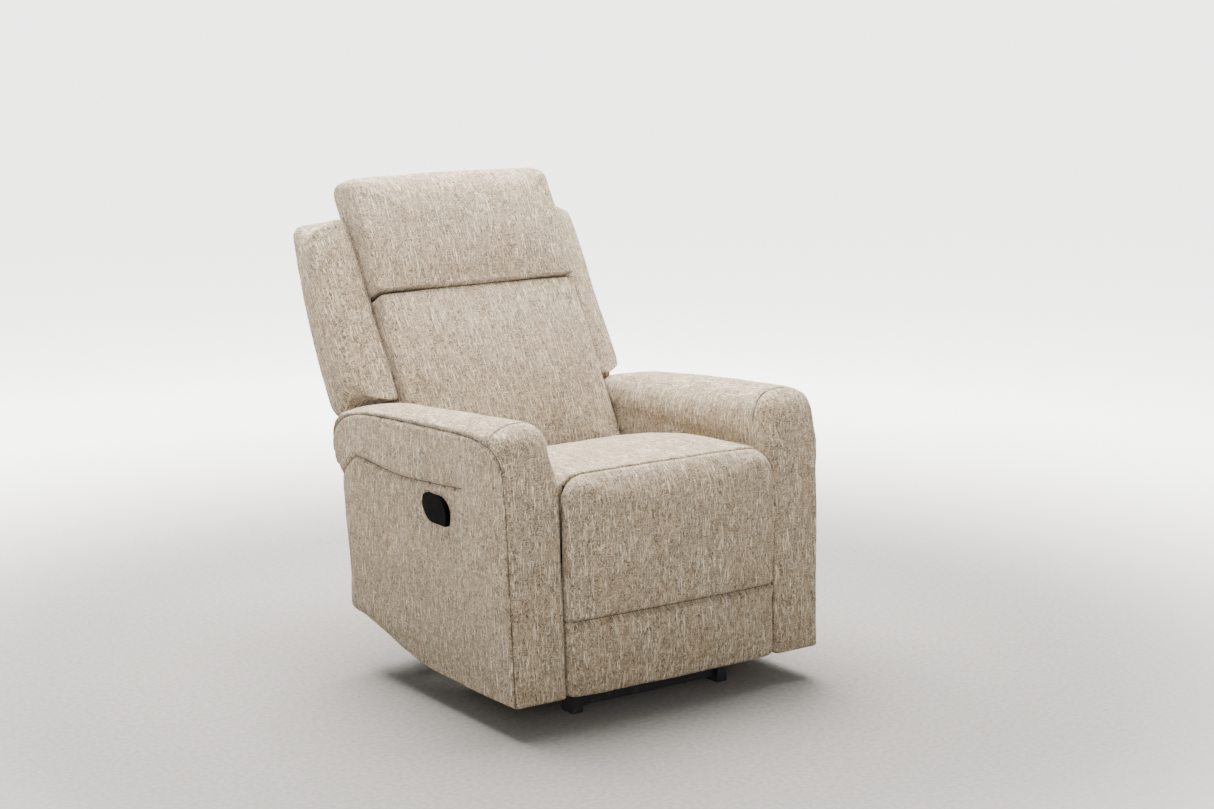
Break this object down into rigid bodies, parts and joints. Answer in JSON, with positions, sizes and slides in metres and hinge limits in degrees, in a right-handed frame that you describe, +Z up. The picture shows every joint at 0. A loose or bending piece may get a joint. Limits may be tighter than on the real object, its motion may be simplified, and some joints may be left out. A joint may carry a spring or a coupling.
{
  "type": "recliner armchair",
  "caption": "Padded fabric recliner armchair with a winged two-cushion back, folding footrest, side release handle and low black steel base.",
  "frame": {"origin": "on the floor, under the middle of the chair's width and depth", "axes": "+Z up, -Y is the direction the sitter faces, +X is the sitter's left"},
  "size_m": [0.808, 0.986, 1.0434],
  "materials": {
    "cover_fabric": "matte",
    "frame_wood": "matte",
    "black_steel": "satin",
    "spring_steel": "satin",
    "black_plastic": "matte"
  },
  "bodies": {
    "base": {"base_rail_left": "black_steel", "base_rail_right": "black_steel", "front_foot_left": "black_steel", "front_foot_right": "black_steel", "rear_foot_left": "black_steel", "rear_foot_right": "black_steel", "front_crossbar": "black_steel", "rear_crossbar": "black_steel", "front_arm_bar": "black_steel", "rear_arm_bar": "black_steel", "arm_pad_left": "cover_fabric", "arm_pad_right": "cover_fabric", "arm_cover_left": "cover_fabric", "arm_cover_right": "cover_fabric", "arm_panel_left": "frame_wood", "arm_panel_right": "frame_wood", "arm_front_post_left": "frame_wood", "arm_front_post_right": "frame_wood", "arm_rear_post_left": "frame_wood", "arm_rear_post_right": "frame_wood", "arm_top_rail_left": "frame_wood", "arm_top_rail_right": "frame_wood", "rear_skirt": "cover_fabric", "handle_bushing": "black_plastic", "release_cable": "black_plastic", "latch_housing": "black_steel"},
    "handle": {"release_handle": "black_plastic"},
    "seat": {"seat_cushion": "cover_fabric", "seat_side_rail_left": "frame_wood", "seat_side_rail_right": "frame_wood", "seat_front_rail": "frame_wood", "seat_rear_rail": "frame_wood", "seat_spring_deck": "spring_steel", "mechanism_plate_left": "black_steel", "mechanism_plate_right": "black_steel"},
    "back": {"lumbar_cushion": "cover_fabric", "head_cushion": "cover_fabric", "wing_left": "cover_fabric", "wing_right": "cover_fabric", "back_post_left": "frame_wood", "back_post_right": "frame_wood", "back_top_rail": "frame_wood", "back_middle_rail": "frame_wood", "back_bottom_rail": "frame_wood", "back_panel": "cover_fabric", "back_bracket_left": "black_steel", "back_bracket_right": "black_steel"},
    "front_lift_links": {"front_lift_link_left": "black_steel", "front_lift_link_right": "black_steel"},
    "rear_lift_links": {"rear_lift_link_left": "black_steel", "rear_lift_link_right": "black_steel"},
    "drive_links": {"drive_link_left": "black_steel", "drive_link_right": "black_steel", "torque_tube": "black_steel"},
    "ottoman_links": {"ottoman_link_left": "black_steel", "ottoman_link_right": "black_steel"},
    "footrest": {"footrest_pad": "cover_fabric", "footrest_board": "frame_wood", "footrest_bracket_left": "black_steel", "footrest_bracket_right": "black_steel"}
  },
  "joints": [
    {"name": "back_recline", "type": "hinge", "parent": "seat", "child": "back", "pos_m": [0, 0.11, 0.33], "axis": [-1, 0, 0], "range_deg": [0, 35]},
    {"name": "seat_slide", "type": "slide", "parent": "base", "child": "seat", "axis": [0, -1, 0], "range_m": [0, 0.0455]},
    {"name": "front_lift", "type": "hinge", "parent": "base", "child": "front_lift_links", "pos_m": [0, -0.175, 0.043], "axis": [1, 0, 0], "range_deg": [0, 13.8]},
    {"name": "rear_lift", "type": "hinge", "parent": "base", "child": "rear_lift_links", "pos_m": [0, 0.02, 0.043], "axis": [1, 0, 0], "range_deg": [0, 13.8]},
    {"name": "footrest_extend", "type": "hinge", "parent": "seat", "child": "drive_links", "pos_m": [0, -0.1398, 0.2892], "axis": [-1, 0, 0], "range_deg": [0, 47.1]},
    {"name": "ottoman_fold", "type": "hinge", "parent": "drive_links", "child": "ottoman_links", "pos_m": [0, -0.3655, 0.0916], "axis": [1, 0, 0], "range_deg": [0, 109.2]},
    {"name": "footrest_tilt", "type": "hinge", "parent": "ottoman_links", "child": "footrest", "pos_m": [0, -0.417, 0.312], "axis": [-1, 0, 0], "range_deg": [0, 152.2]},
    {"name": "handle_pull", "type": "hinge", "parent": "base", "child": "handle", "pos_m": [-0.4, -0.222, 0.424], "axis": [1, 0, 0], "range_deg": [0, 20], "stiffness_Nm_per_rad": 0.8}
  ],
  "couplings": [
    {"joint": "seat_slide", "follows": "back_recline", "m_per_rad": 0.073666},
    {"joint": "front_lift", "follows": "back_recline", "ratio": 0.38863},
    {"joint": "rear_lift", "follows": "back_recline", "ratio": 0.38863},
    {"joint": "ottoman_fold", "follows": "footrest_extend", "ratio": 2.3079},
    {"joint": "footrest_tilt", "follows": "footrest_extend", "ratio": 3.2187}
  ]
}
